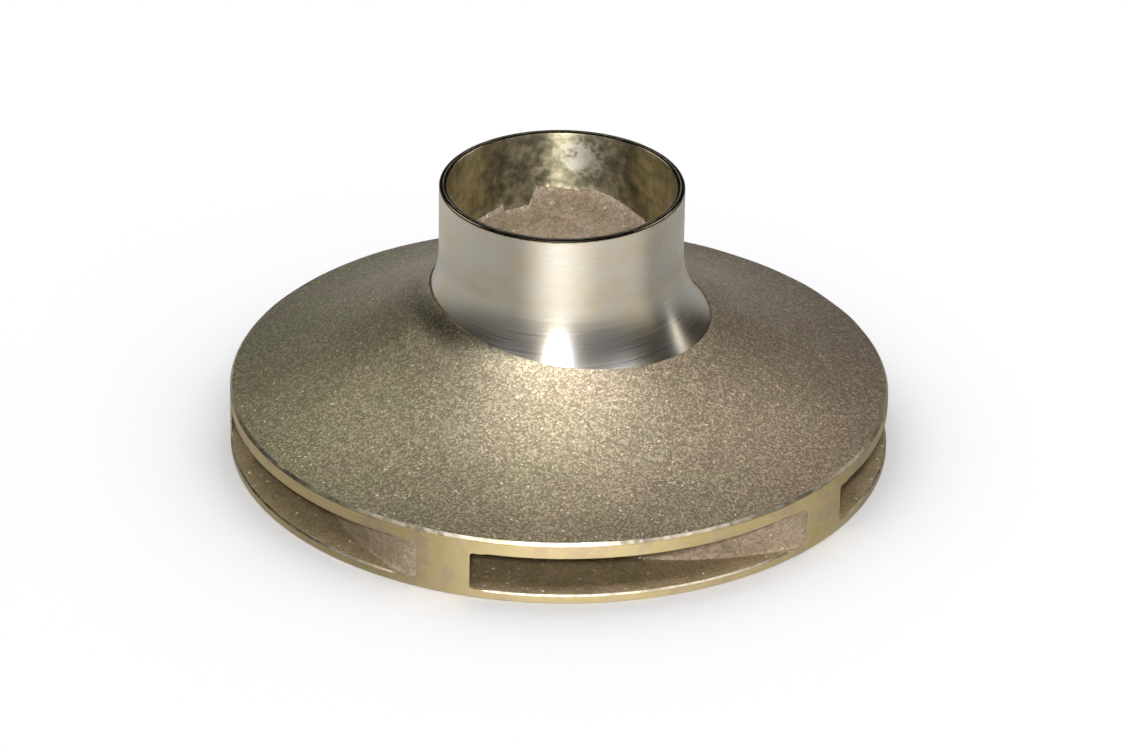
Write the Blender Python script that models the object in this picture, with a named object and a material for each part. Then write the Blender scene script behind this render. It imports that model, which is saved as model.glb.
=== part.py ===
"""A closed bronze impeller for a small circulating pump.

One sand casting, turned on its suction neck, its rim and its back. Its regions are
modelled as separate solids: the suction neck, the front shroud, the back shroud, the
hub and five backward-curved vanes. Metres, Z up along the shaft, the origin on the axis
in the plane of the turned back face, and the suction eye at the top.
"""
import bpy
import bmesh
from math import asin, cos, log, pi, radians, sin, sqrt, tan

# Sizes of the whole impeller
OUTSIDE_RADIUS = 0.0667        # 133.4 mm across the turned rim, 5 1/4 inches
OVERALL_HEIGHT = 0.0576        # back face to the end of the suction neck
OUTLET_FLOOR = 0.0018          # thickness of the back shroud at the rim
OUTLET_CEILING = 0.0098        # underside of the front shroud at the rim
RIM_TOP = 0.0132               # top edge of the front shroud at the rim
JOINT_GAP = 0.0003             # room between neighbouring solids

# Suction neck
NECK_RADIUS = 0.0246
NECK_BORE_RADIUS = 0.0230      # turned, for the upper part only
NECK_CAST_RADIUS = 0.0226      # as cast, below the boring
BORE_DEPTH = 0.0141            # how far down the boring tool went
BORE_RUNOUT = 0.0004
NECK_EDGE_BREAK = 0.0003
NECK_FLARE_TOP = 0.0433        # height where the turned side begins to flare
NECK_FLARE_RADIUS = 0.022
NECK_BASE = 0.031              # height where the turned flare meets the cast skin

# Shrouds
CAST_FILLET = 0.012            # as-cast rounding between the cone and the neck
SHROUD_DISH = 0.250            # the front shroud is slightly dished: radius of its outside
RIM_SLOPE = radians(19.5)      # its slope at the rim
CEILING_SLOPE = 0.43           # rise per radius of its underside
EYE_LIP_RADIUS = 0.005         # rounding from the eye into the passages
FLOOR_SLOPE = 0.07             # rise per radius of the back shroud's inner side
BACK_EDGE_BREAK = 0.0003

# Hub
HUB_BASE_RADIUS = 0.026
HUB_NOSE_RADIUS = 0.0105
HUB_NOSE_HEIGHT = 0.026
HUB_SWEEP = 0.0155             # radius of the concave curve round the hub
SHAFT_RADIUS = 0.00635         # bore for a half inch shaft
HUB_EDGE_BREAK = 0.0006
KEYWAY_WIDTH = 0.0032
KEYWAY_DEPTH = 0.0016
KEYWAY_ANGLE = radians(90.0)

# Vanes
VANE_COUNT = 5
VANE_TIP_ANGLE = radians(-103.9)   # where the first vane's inner face meets the rim
VANE_EXIT_SLOPE = tan(radians(18.0))
VANE_SLOPE_GAIN = 0.35             # the vane angle is steeper towards the eye
VANE_EXIT_THICKNESS = 0.0040
VANE_INLET_THICKNESS = 0.0030
VANE_INLET_RADIUS = 0.0145         # leading edge on the hub
VANE_SHROUD_RADIUS = 0.0238        # leading edge under the front shroud
VANE_NOSE_HEIGHT = 0.0025
VANE_NOSE_LENGTH = 0.003
VANE_NOSE_SHARE = 0.35             # thickness at the very tip of the nose

# Fineness of the meshes
RIM_SEGMENTS = 72
HUB_SEGMENTS = 48
FILLET_STEPS = 5
DISH_STEPS = 8
VANE_STATIONS = 22
VANE_COLUMNS = 4


def clear_scene():
    for item in list(bpy.data.objects):
        bpy.data.objects.remove(item, do_unlink=True)


def bronze(name, colour, roughness):
    material = bpy.data.materials.new(name)
    material.use_nodes = True
    shader = material.node_tree.nodes["Principled BSDF"]
    shader.inputs["Base Color"].default_value = (*colour, 1.0)
    shader.inputs["Roughness"].default_value = roughness
    shader.inputs["Metallic"].default_value = 1.0
    material.diffuse_color = (*colour, 1.0)
    return material


def arc(centre, radius, start, end, steps):
    """Points of an arc in the (radius, height) plane, start and end included."""
    turns = [start + (end - start) * step / steps for step in range(steps + 1)]
    return [(centre[0] + radius * cos(turn), centre[1] + radius * sin(turn)) for turn in turns]


def dish_centre():
    """Centre of the long arc that is the front shroud's outside."""
    return OUTSIDE_RADIUS + SHROUD_DISH * sin(RIM_SLOPE), RIM_TOP + SHROUD_DISH * cos(RIM_SLOPE)


def ceiling_cone(radius):
    """Height of the straight part of the front shroud's underside."""
    return OUTLET_CEILING + CEILING_SLOPE * (OUTSIDE_RADIUS - radius)


def back_floor(radius):
    """Height of the back shroud's inner side."""
    return OUTLET_FLOOR + FLOOR_SLOPE * (OUTSIDE_RADIUS - radius)


def cast_fillet_centre():
    """Centre of the rounding that touches the neck's line and the shroud's dished outside."""
    radius = NECK_RADIUS + CAST_FILLET
    dish = dish_centre()
    drop = sqrt((SHROUD_DISH - CAST_FILLET) ** 2 - (dish[0] - radius) ** 2)
    return radius, dish[1] - drop


def lip_centre():
    """Centre of the rounding that touches the eye's wall and the passages' ceiling."""
    radius = NECK_CAST_RADIUS + EYE_LIP_RADIUS
    return radius, ceiling_cone(radius) + EYE_LIP_RADIUS * sqrt(1 + CEILING_SLOPE ** 2)


def ceiling(radius):
    """Height of the metal over a vane, the lip of the eye included."""
    centre_radius, centre_height = lip_centre()
    touch = centre_radius - EYE_LIP_RADIUS * CEILING_SLOPE / sqrt(1 + CEILING_SLOPE ** 2)
    if radius >= touch:
        return ceiling_cone(radius)
    return centre_height - sqrt(EYE_LIP_RADIUS ** 2 - (centre_radius - radius) ** 2)


def hub_curve_centre():
    return HUB_BASE_RADIUS, back_floor(HUB_BASE_RADIUS) + HUB_SWEEP


def floor(radius):
    """Height of the metal under a vane: the back shroud, then the hub's curve."""
    if radius >= HUB_BASE_RADIUS:
        return back_floor(radius)
    centre_radius, centre_height = hub_curve_centre()
    return centre_height - sqrt(HUB_SWEEP ** 2 - (centre_radius - radius) ** 2)


def finish_body(name, mesh, material):
    bmesh.ops.recalc_face_normals(mesh, faces=mesh.faces)
    data = bpy.data.meshes.new(name)
    mesh.to_mesh(data)
    mesh.free()
    data.shade_smooth()
    data.set_sharp_from_angle(angle=radians(28.0))
    data.materials.append(material)
    body = bpy.data.objects.new(name, data)
    bpy.context.scene.collection.objects.link(body)
    return body


def turned_body(name, outline, segments, material):
    """Spin a closed outline of (radius, height) points once round the shaft's axis."""
    mesh = bmesh.new()
    points = [mesh.verts.new((radius, 0.0, height)) for radius, height in outline]
    sides = [mesh.edges.new((points[i - 1], points[i])) for i in range(len(points))]
    bmesh.ops.spin(mesh, geom=points + sides, cent=(0, 0, 0), axis=(0, 0, 1),
                   angle=2 * pi, steps=segments, use_merge=True)
    bmesh.ops.remove_doubles(mesh, verts=mesh.verts, dist=0.000001)
    return finish_body(name, mesh, material)


def neck_outline():
    """The neck: bored and faced at the top, with its turned flare at the bottom."""
    base = NECK_BASE + JOINT_GAP / 2
    centre = (NECK_RADIUS + NECK_FLARE_RADIUS, NECK_FLARE_TOP)
    end = pi + asin((centre[1] - base) / NECK_FLARE_RADIUS)
    outside = arc(centre, NECK_FLARE_RADIUS, end, pi, FILLET_STEPS)
    bore_end = OVERALL_HEIGHT - BORE_DEPTH
    return outside + [
        (NECK_RADIUS, OVERALL_HEIGHT - NECK_EDGE_BREAK),
        (NECK_RADIUS - NECK_EDGE_BREAK, OVERALL_HEIGHT),
        (NECK_BORE_RADIUS + NECK_EDGE_BREAK, OVERALL_HEIGHT),
        (NECK_BORE_RADIUS, OVERALL_HEIGHT - NECK_EDGE_BREAK),
        (NECK_BORE_RADIUS, bore_end),
        (NECK_CAST_RADIUS, bore_end - BORE_RUNOUT),
        (NECK_CAST_RADIUS, base),
    ]


def front_shroud_outline():
    """The cast skin from the neck's flare to the rim, with the rounded lip of the eye."""
    top = NECK_BASE - JOINT_GAP / 2
    centre = cast_fillet_centre()
    dish = dish_centre()
    start = pi + asin((centre[1] - top) / CAST_FILLET)
    touch = 1.5 * pi - asin((dish[0] - centre[0]) / (SHROUD_DISH - CAST_FILLET))
    outside = arc(centre, CAST_FILLET, start, touch, FILLET_STEPS)
    outside += arc(dish, SHROUD_DISH, touch, 1.5 * pi - RIM_SLOPE, DISH_STEPS)[1:]
    rim = [(OUTSIDE_RADIUS, OUTLET_CEILING)]
    lip = lip_centre()
    lip_start = 1.5 * pi - asin(CEILING_SLOPE / sqrt(1 + CEILING_SLOPE ** 2))
    lip_end = pi + asin((lip[1] - top) / EYE_LIP_RADIUS)
    return outside + rim + arc(lip, EYE_LIP_RADIUS, lip_start, lip_end, FILLET_STEPS)


def back_shroud_outline():
    """The flat turned back plate, thickest at the hub."""
    inner = HUB_BASE_RADIUS + JOINT_GAP
    return [
        (inner, 0.0),
        (OUTSIDE_RADIUS - BACK_EDGE_BREAK, 0.0),
        (OUTSIDE_RADIUS, BACK_EDGE_BREAK),
        (OUTSIDE_RADIUS, OUTLET_FLOOR),
        (inner, back_floor(inner)),
    ]


def hub_outline():
    """The hub: flat back face, concave curve up to the nose, and the shaft's bore."""
    centre = hub_curve_centre()
    lean = asin((HUB_BASE_RADIUS - HUB_NOSE_RADIUS) / HUB_SWEEP)
    sweep = arc(centre, HUB_SWEEP, 1.5 * pi, 1.5 * pi - lean, 2 * FILLET_STEPS)
    nose = HUB_NOSE_HEIGHT
    edge = HUB_EDGE_BREAK
    return [(SHAFT_RADIUS + edge, 0.0), (HUB_BASE_RADIUS, 0.0)] + sweep + [
        (HUB_NOSE_RADIUS, nose - edge),
        (HUB_NOSE_RADIUS - edge, nose),
        (SHAFT_RADIUS + edge, nose),
        (SHAFT_RADIUS, nose - edge),
        (SHAFT_RADIUS, edge),
    ]


def cut_keyway(hub):
    """Cut the key's slot through the whole length of the shaft's bore."""
    mesh = bmesh.new()
    bmesh.ops.create_cube(mesh, size=1.0)
    length = HUB_NOSE_HEIGHT * 2
    reach = SHAFT_RADIUS + KEYWAY_DEPTH
    bmesh.ops.scale(mesh, vec=(reach, KEYWAY_WIDTH, length), verts=mesh.verts)
    bmesh.ops.translate(mesh, vec=(reach / 2, 0, HUB_NOSE_HEIGHT / 2), verts=mesh.verts)
    data = bpy.data.meshes.new("keyway_cutter")
    mesh.to_mesh(data)
    mesh.free()
    cutter = bpy.data.objects.new("keyway_cutter", data)
    cutter.rotation_euler.z = KEYWAY_ANGLE
    cutter.hide_render = True
    cutter.display_type = "WIRE"
    bpy.context.scene.collection.objects.link(cutter)
    cut = hub.modifiers.new("keyway", "BOOLEAN")
    cut.operation = "DIFFERENCE"
    cut.object = cutter


def vane_slope(radius):
    """Tangent of the angle between the vane and the circle through it."""
    return VANE_EXIT_SLOPE + VANE_SLOPE_GAIN * (1 - radius / OUTSIDE_RADIUS)


def vane_turn(radius):
    """Angle back along the spiral from the rim, zero at the rim."""
    inlet_slope = VANE_EXIT_SLOPE + VANE_SLOPE_GAIN
    share = radius / OUTSIDE_RADIUS
    return log(share * VANE_EXIT_SLOPE / vane_slope(radius)) / inlet_slope


def vane_thickness(radius):
    along = (radius - VANE_INLET_RADIUS) / (OUTSIDE_RADIUS - VANE_INLET_RADIUS)
    full = VANE_INLET_THICKNESS + (VANE_EXIT_THICKNESS - VANE_INLET_THICKNESS) * along
    into = min(1.0, (radius - VANE_INLET_RADIUS) / VANE_NOSE_LENGTH)
    return full * (VANE_NOSE_SHARE + (1 - VANE_NOSE_SHARE) * sqrt(1 - (1 - into) ** 2))


def vane_top(radius):
    """Top of the vane: under the shroud, then a ramp down to the hub in the eye."""
    roof = ceiling(max(radius, VANE_SHROUD_RADIUS)) - JOINT_GAP
    if radius >= VANE_SHROUD_RADIUS:
        return roof
    foot = floor(VANE_INLET_RADIUS) + VANE_NOSE_HEIGHT
    share = (radius - VANE_INLET_RADIUS) / (VANE_SHROUD_RADIUS - VANE_INLET_RADIUS)
    return foot + (roof - foot) * share


def vane_rung(radius, height):
    """Points across the vane at one radius, from its inner to its outer face."""
    sine = vane_slope(radius) / sqrt(1 + vane_slope(radius) ** 2)
    width = vane_thickness(radius) / (radius * sine)
    turns = [vane_turn(radius) - width * column / VANE_COLUMNS
             for column in range(VANE_COLUMNS + 1)]
    return [(radius * cos(turn), radius * sin(turn), height) for turn in turns]


def vane_radii():
    """Stations from the leading edge to the rim, close together at the nose."""
    reach = OUTSIDE_RADIUS - VANE_SHROUD_RADIUS
    ramp = VANE_SHROUD_RADIUS - VANE_INLET_RADIUS
    ramp_steps = VANE_STATIONS // 3
    rest_steps = VANE_STATIONS - ramp_steps
    nose = [VANE_INLET_RADIUS + ramp * (step / ramp_steps) ** 1.5 for step in range(ramp_steps)]
    rest = [VANE_SHROUD_RADIUS + reach * step / rest_steps for step in range(rest_steps + 1)]
    return nose + rest


def vane_body(name, material):
    """One vane as a closed solid: two sheets of rungs joined round their edges."""
    mesh = bmesh.new()
    sheets = []
    for height in (lambda radius: floor(radius) + JOINT_GAP, vane_top):
        sheets.append([[mesh.verts.new(point) for point in vane_rung(radius, height(radius))]
                       for radius in vane_radii()])
    for sheet in sheets:
        for first, second in zip(sheet, sheet[1:]):
            for i in range(VANE_COLUMNS):
                mesh.faces.new((first[i], second[i], second[i + 1], first[i + 1]))
    open_edges = [edge for edge in mesh.edges if edge.is_boundary]
    bmesh.ops.bridge_loops(mesh, edges=open_edges)
    return finish_body(name, mesh, material)


def place_vanes(material, holder):
    """Five like vanes, evenly round the axis, sharing one mesh."""
    pattern = vane_body("vane_1", material)
    for index in range(VANE_COUNT):
        vane = pattern
        if index:
            vane = bpy.data.objects.new(f"vane_{index + 1}", pattern.data)
            bpy.context.scene.collection.objects.link(vane)
        vane.rotation_euler.z = VANE_TIP_ANGLE + 2 * pi * index / VANE_COUNT
        vane.parent = holder


def main():
    clear_scene()
    holder = bpy.data.objects.new("shaft_axis", None)
    bpy.context.scene.collection.objects.link(holder)
    turned = bronze("turned_bronze", (0.52, 0.42, 0.28), 0.28)
    cast = bronze("cast_bronze", (0.36, 0.24, 0.12), 0.55)
    hub_metal = bronze("hub_bronze", (0.42, 0.29, 0.15), 0.45)
    vane_metal = bronze("vane_bronze", (0.40, 0.26, 0.14), 0.6)
    back_metal = bronze("back_bronze", (0.48, 0.36, 0.22), 0.32)
    bodies = [
        turned_body("suction_neck", neck_outline(), RIM_SEGMENTS, turned),
        turned_body("front_shroud", front_shroud_outline(), RIM_SEGMENTS, cast),
        turned_body("back_shroud", back_shroud_outline(), RIM_SEGMENTS, back_metal),
        turned_body("hub", hub_outline(), HUB_SEGMENTS, hub_metal),
    ]
    cut_keyway(bodies[-1])
    for body in bodies:
        body.parent = holder
    place_vanes(vane_metal, holder)


main()
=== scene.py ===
"""A circulator pump impeller: one bronze sand casting, turned on its suction neck, its rim
and its back, standing on its back face on a pale floor.

Millimetres here, and metres in the meshes; Z runs up along the shaft. The neck, the shrouds,
the hub and the vanes meet without a gap, as they do in the one casting. Angles go round the
shaft from +X, and the viewer stands at -90 degrees.
"""
from math import asin, cos, pi, radians, sin, sqrt, tan

import bpy
import numpy as np
from mathutils import Matrix, Vector


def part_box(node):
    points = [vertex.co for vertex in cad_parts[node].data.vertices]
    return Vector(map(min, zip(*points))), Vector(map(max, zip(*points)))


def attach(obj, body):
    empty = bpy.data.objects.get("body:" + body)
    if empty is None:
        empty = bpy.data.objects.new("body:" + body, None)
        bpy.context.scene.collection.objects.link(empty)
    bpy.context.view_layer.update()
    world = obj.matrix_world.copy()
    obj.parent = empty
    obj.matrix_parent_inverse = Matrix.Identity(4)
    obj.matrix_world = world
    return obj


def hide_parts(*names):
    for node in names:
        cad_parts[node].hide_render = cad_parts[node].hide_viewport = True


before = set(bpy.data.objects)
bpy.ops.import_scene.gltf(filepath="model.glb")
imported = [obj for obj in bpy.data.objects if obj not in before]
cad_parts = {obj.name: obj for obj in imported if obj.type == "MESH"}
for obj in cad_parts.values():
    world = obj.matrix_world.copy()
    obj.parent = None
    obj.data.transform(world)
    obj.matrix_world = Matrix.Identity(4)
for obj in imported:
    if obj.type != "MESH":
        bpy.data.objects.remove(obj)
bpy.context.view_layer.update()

MM = 0.001

# Sizes of the whole impeller
RIM_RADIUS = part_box("front_shroud")[1].x / MM
NECK_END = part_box("suction_neck")[1].z / MM
OUTLET_FLOOR = 1.8              # thickness of the back shroud at the rim
OUTLET_CEILING = 9.8            # underside of the front shroud at the rim
RIM_TOP = 13.2                  # top edge of the front shroud at the rim
RIM_CHAMFER = 0.45
RIM_GROOVE = 0.12               # fine groove that parts the turned rim from its top edge
OUTLET_EDGE_BREAK = 0.3         # on the worn edges of the outlets
BACK_EDGE_BREAK = 0.25
BACK_RINGS = (34.0, 45.0, 56.0) # radii of the rings of points on the flat back
CORE_SHIFT = -1.0               # at the neck the casting lies 1 mm towards -X of the axis
SHIFT_FADES_FROM = 34.0
SKIN_WAVE = (0.06, 16)          # height and size of the bumps in the cast skin
PASSAGE_WAVE = (0.04, 9)        # the same in the passages
PASSAGE_WAVE_FADE = 5           # width of the calm band inside the turned rim

# Suction neck
NECK_RADIUS = 24.6
BORE_RADIUS = 23.0              # turned, for the upper part only
EYE_RADIUS = 22.6               # as cast, below the boring
END_FACE_BREAK = 0.35
END_FACE_LINE = (0.75, 0.95)    # a dull ring on the end face, measured in from the outside
BORE_MOUTH_BREAK = 0.3
PALE_EDGE_BAND = 0.3                 # height of the pale band under the outer edge, a painted highlight line
BORING_STEP = 0.6               # height of the slope from the bored wall to the cast one
BORING_WAVE = (0.12, 1.3)       # height and length of the small waves where the boring ends
EYE_WALL_WAVE = (0.09, 2.6)     # the same on the cast wall under it
EYE_WALL_TAPER = (0.15, -0.02)  # how far that wall stands back, at its top and at its foot
FLARE_TOP = 43.3
FLARE_RADIUS = 22.0
FLARE_FOOT = (0.5, 1.5)         # its hidden foot is that much wider and deeper
FLARE_END = (28.45, 2.05, 0.35) # where it runs out, and how much wider at +X and at +Y
NECK_RING = FLARE_TOP + 5       # height of a ring of points on the straight neck
SHOULDER = (0.3, 0.45)          # height of the cast edge beside the flare, and more at -X
SHOULDER_ROUNDING = 0.25
SHOULDER_FADE = 7.0             # the skin is level with the rest that far from the edge

# Shrouds
CAST_FILLET = 12.0
SHROUD_DISH = 120.0             # the front shroud is slightly dished: radius of its outside
RIM_SLOPE = radians(15.0)       # its slope at the rim
CEILING_SLOPE = 0.43
EYE_LIP = 5.0
FLOOR_SLOPE = 0.07
EYE_SEAM = 31.6                 # height in the eye where the neck and the shroud meet
SEAM_LAP = 0.4                  # hidden lap of the neck in the shroud

# Hub
HUB_RADIUS = 26.0
NOSE_RADIUS = 10.5
NOSE_HEIGHT = 26.0
HUB_SWEEP = 15.5
SHAFT_RADIUS = 6.35
HUB_EDGE_BREAK = 0.6
HUB_RING = 16.0                 # radius of the ring of points on the hub's flat back
NOSE_FOOT = 3                   # the nose's foot reaches that much wider
KEYWAY_HALF = 1.6
KEYWAY_REACH = 7.95
KEYWAY_ANGLE = pi / 2

# Vanes
VANE_COUNT = 5
VANE_TIP = radians(-103.9)
VANE_EXIT_SLOPE = tan(radians(18.0))
VANE_SLOPE_GAIN = 0.35
VANE_EXIT_THICKNESS = 4.0
VANE_INLET_THICKNESS = 3.0
VANE_INLET = 14.5
VANE_UNDER_SHROUD = 23.8
VANE_NOSE_HEIGHT = 2.5
VANE_NOSE_LENGTH = 3.0
VANE_NOSE_STATIONS = 24         # cross sections along a vane, closer towards its nose
VANE_NOSE_EASE = 1.6
VANE_STATIONS = 72
VANE_TOP_ROUNDING = 0.45        # of the uncovered top edge, as a share of the thickness
VANE_TOP_WIDTH = 0.3            # half width left on that top, as a share of the thickness
VANE_TOP_RISE = 0.02
INNER_COVE = (0.6, 0.25)        # height and width of the cast corners beside a vane
OUTER_COVE = (1.4, 0.5)
BURIED = 0.3                    # how far a vane reaches into the shrouds
COVE_SHARE = 0.42               # most of a vane's height that one cove may take
VANE_COVERED = 2.5              # length over which the front shroud comes to cover a vane
LAND_AHEAD = 1.2                # degrees of the vane's turned end before and behind its tip
LAND_BEHIND = 13.8
LAND_COLUMNS = 24
SHARPEST_SMOOTH = radians(32.0) # a steeper fold between two faces shows as an edge

# The photograph's view, the room and the table, in metres and degrees
VIEW_RISE = 28.77
VIEW_DISTANCE = 1.334
VIEW_ROLL = 0.868
SENSOR = 36.0
LENS = 210.5
SHIFT = (0.0029, 0.0039)
FLOOR_SIZE = 6.0
FLOOR_UNDER = 0.0001            # the floor lies this far under the back face
TABLE_UNDER = 0.001             # and the table that the metal mirrors this far
BACKDROP_RADIUS = 2.4
BACKDROP_HEIGHT = 2.5
BACKDROP_SIDES = 72
ROOM_DARK = 0.01                # brightness of the room's walls
CEILING_GREY = 0.6              # brightness of the room's ceiling
CEILING_START = (0.86, 0.99)    # upward share of a direction: the ceiling starts, is full
BACK_WALL_GREY = 0.6            # brightness of the room's wall low behind the casting
BACK_WALL_START = (0.8, 0.97)   # backward share of a direction: it starts, is full
BACK_WALL_TOP = (0.12, 0.36)    # upward share of a direction: it fades, is gone
TABLE_GREY = 0.52               # brightness of the table in the metal
TABLE_MIDDLE = (0.0, 0.08, 0.0)
TABLE_END = (0.25, 0.33)        # where that brightness fades into the room's
TABLE_TILT = (1.18, 0.8)        # its share at TABLE_TILT_HALF towards -X and towards +X: painted light, brighter to -X
TABLE_TILT_HALF = 0.12
SHEEN_SHIFT = 0.008             # the flash's painted sheen on the table: a fan towards the viewer
SHEEN_SPREAD = 0.95
SHEEN_GLOW = 1.0
SHEEN_START = 0.001             # nearer the shaft than this, the fan grows no narrower
SHEEN_END = (0.3, 0.5)
SIDE_SHEEN = 0.45               # a weaker painted sheen towards +X
SIDE_SHEEN_START = (0.25, 0.9)
SIDE_SHEEN_AHEAD = (0.01, 0.06)
CASTING_SHADE = 0.72            # brightness of the table beside the rim, against the rest: the casting's painted shadow
CASTING_SHADE_END = (0.07, 0.1)
COOL_WHITE = "#F2F4FF"          # colour of the flash and of the strip overhead

# What the finishes read; places in millimetres
SCALE_PATCH = (4.5, 22.6, 52.0) # middle of the paler patch in the bore
RIM_DARKENING_RADII = (46.0, 63.0)          # radii between which the blasted skin darkens
RIM_DARKENING_SHADE = 0.85            # its brightness from there to the rim
TINT_REACH = 60.0               # the skin's olive and brown ends lie this far from the shaft
GROOVES_ACROSS = 0.25           # turns the drawn-out highlights across the grooves

# Where the boring tool ran out into the cast wall: (degrees round the shaft, height)
BORING_ENDS = (
    (-180, 41.6), (-120, 41.3), (-60, 41.7), (0, 41.5), (40, 41.2), (46, 41.9), (53, 42.8),
    (58, 43.5), (63, 44.3), (68, 44.8), (72, 45.1), (76, 45.2), (83, 44.8), (91, 45.1),
    (99, 45.4), (104, 45.9), (105, 43.8), (107, 41.6), (115, 41.2), (120.5, 41.3),
    (121.5, 43.0), (123.5, 42.4), (130, 41.9), (138, 41.4), (180, 41.6),
)

WAVE_COUNT = 7                  # waves that add up to the unevenness of the casting
AROUND = 720                    # points round the shaft, one each half degree
azimuths = np.arange(AROUND) * 2 * pi / AROUND


def waves(x, y, z, size, seed):
    """Gentle unevenness of a sand casting, between about -1 and 1, with bumps of that size."""
    chance = np.random.default_rng(seed)
    total = 0.0
    for _ in range(WAVE_COUNT):
        direction = chance.normal(size=3)
        direction *= 2 * pi / (size * np.linalg.norm(direction)) * chance.uniform(0.6, 1.5)
        total = total + np.sin(direction[0] * x + direction[1] * y + direction[2] * z
                               + chance.uniform(0, 2 * pi))
    return total / (WAVE_COUNT / 2)


def cast_skin(radius, angle):
    """Height of the front shroud's cast outside: slightly dished, with a fillet at the neck."""
    x, y = radius * np.cos(angle), radius * np.sin(angle)
    rim_share = np.clip((radius - SHIFT_FADES_FROM) / (RIM_RADIUS - SHIFT_FADES_FROM), 0, 1)
    reach = np.hypot(x - CORE_SHIFT * (1 - rim_share), y)
    dish_radius = RIM_RADIUS + SHROUD_DISH * sin(RIM_SLOPE)
    dish_height = RIM_TOP + SHROUD_DISH * cos(RIM_SLOPE)
    dish = dish_height - np.sqrt(SHROUD_DISH ** 2 - (dish_radius - reach) ** 2)
    centre = NECK_RADIUS + CAST_FILLET
    between = SHROUD_DISH - CAST_FILLET
    centre_height = dish_height - sqrt(between ** 2 - (dish_radius - centre) ** 2)
    touch = centre - CAST_FILLET * (dish_radius - centre) / between
    off = np.clip(centre - reach, 0, CAST_FILLET * 0.999)
    fillet = centre_height - np.sqrt(CAST_FILLET ** 2 - off ** 2)
    height, size = SKIN_WAVE
    return np.where(reach < touch, fillet, dish) + height * waves(x, y, 0, size, 3)


def flare_height(radius):
    """Height of the neck's turned flare at a radius."""
    off = NECK_RADIUS + FLARE_RADIUS - radius
    return FLARE_TOP - np.sqrt(FLARE_RADIUS ** 2 - off ** 2)


def flare_end(angle):
    """Radius where the turned flare runs out under the cast skin, widest at +X."""
    middle, wider_right, wider_back = FLARE_END
    return middle + wider_right * np.cos(angle) + wider_back * np.sin(angle)


def ceiling_cone(radius):
    """Height of the straight part of the passages' roof."""
    return OUTLET_CEILING + CEILING_SLOPE * (RIM_RADIUS - radius)


def lip_centre():
    """Middle of the eye's rounded lip, as its radius and its height."""
    radius = EYE_RADIUS + EYE_LIP
    return radius, ceiling_cone(radius) + EYE_LIP * sqrt(1 + CEILING_SLOPE ** 2)


def ceiling(radius):
    """Height of the passages' roof, the rounded lip of the eye included."""
    centre_radius, centre_height = lip_centre()
    touch = centre_radius - EYE_LIP * CEILING_SLOPE / sqrt(1 + CEILING_SLOPE ** 2)
    off = np.clip(centre_radius - radius, 0, EYE_LIP * 0.999)
    lip = centre_height - np.sqrt(EYE_LIP ** 2 - off ** 2)
    return np.where(radius >= touch, ceiling_cone(radius), lip)


def back_floor(radius):
    """Height of the back shroud's inner side."""
    return OUTLET_FLOOR + FLOOR_SLOPE * (RIM_RADIUS - radius)


def passage_floor(radius):
    """Height of the passages' floor: the back shroud, then the hub's curve."""
    centre_height = back_floor(HUB_RADIUS) + HUB_SWEEP
    off = np.clip(HUB_RADIUS - radius, 0, HUB_SWEEP * 0.999)
    return np.where(radius >= HUB_RADIUS, back_floor(radius),
                    centre_height - np.sqrt(HUB_SWEEP ** 2 - off ** 2))


def linear(code):
    """The linear colour of an sRGB hex value."""
    parts = [int(code[place:place + 2], 16) / 255 for place in (1, 3, 5)]
    return [part / 12.92 if part <= 0.04045 else ((part + 0.055) / 1.055) ** 2.4
            for part in parts] + [1.0]


def add(tree, kind, inputs=None, stops=(), **settings):
    """Add a shader node with its settings, its values and its links; give back its outputs."""
    made = tree.nodes.new("ShaderNode" + kind)
    for name, value in settings.items():
        setattr(made, name, value)
    for place, (position, colour) in enumerate(stops):
        ramp = made.color_ramp.elements
        stop = ramp[place] if place < 2 else ramp.new(position)
        stop.position = position
        stop.color = linear(colour) if isinstance(colour, str) else (colour,) * 3 + (1.0,)
    for socket, value in (inputs or {}).items():
        if isinstance(value, bpy.types.NodeSocket):
            tree.links.new(value, made.inputs[socket])
        else:
            made.inputs[socket].default_value = value
    return made.outputs


def start_bronze(name):
    """A metal with its shader, and the places on the casting in mm that its nodes read."""
    metal = bpy.data.materials.new(name)
    metal.use_nodes = True
    tree = metal.node_tree
    shader = tree.nodes["Principled BSDF"]
    shader.inputs["Metallic"].default_value = 1.0
    spot = add(tree, "TexCoord")["Object"]
    spot = add(tree, "VectorMath", {0: spot, "Scale": 1 / MM}, operation="SCALE")["Vector"]
    axes = add(tree, "SeparateXYZ", {0: spot})
    flat = add(tree, "CombineXYZ", {"X": axes["X"], "Y": axes["Y"]})["Vector"]
    radius = add(tree, "VectorMath", {0: flat}, operation="LENGTH")["Value"]
    feed = add(tree, "Math", {0: radius, 1: axes["Z"]}, operation="SUBTRACT")["Value"]
    back = add(tree, "Math", {0: axes["Y"], 1: -1.0}, operation="MULTIPLY")["Value"]
    groove = add(tree, "CombineXYZ", {"X": back, "Y": axes["X"]})["Vector"]
    return metal, tree, shader, {"spot": spot, "flat": flat, "side": axes["X"], "feed": feed,
                                 "groove": groove, "radius": radius}


def finish_bronze(tree, shader, colour, rough, relief):
    """Give a bronze its colour, its roughness and its relief."""
    tree.links.new(colour, shader.inputs["Base Color"])
    tree.links.new(rough, shader.inputs["Roughness"])
    tree.links.new(relief["Normal"], shader.inputs["Normal"])


def groove_gloss(tree, shader, place, share):
    """Draw highlights out across the tool's grooves, which run round the shaft."""
    tree.links.new(place["groove"], shader.inputs["Tangent"])
    shader.inputs["Anisotropic"].default_value = share
    shader.inputs["Anisotropic Rotation"].default_value = GROOVES_ACROSS


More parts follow.
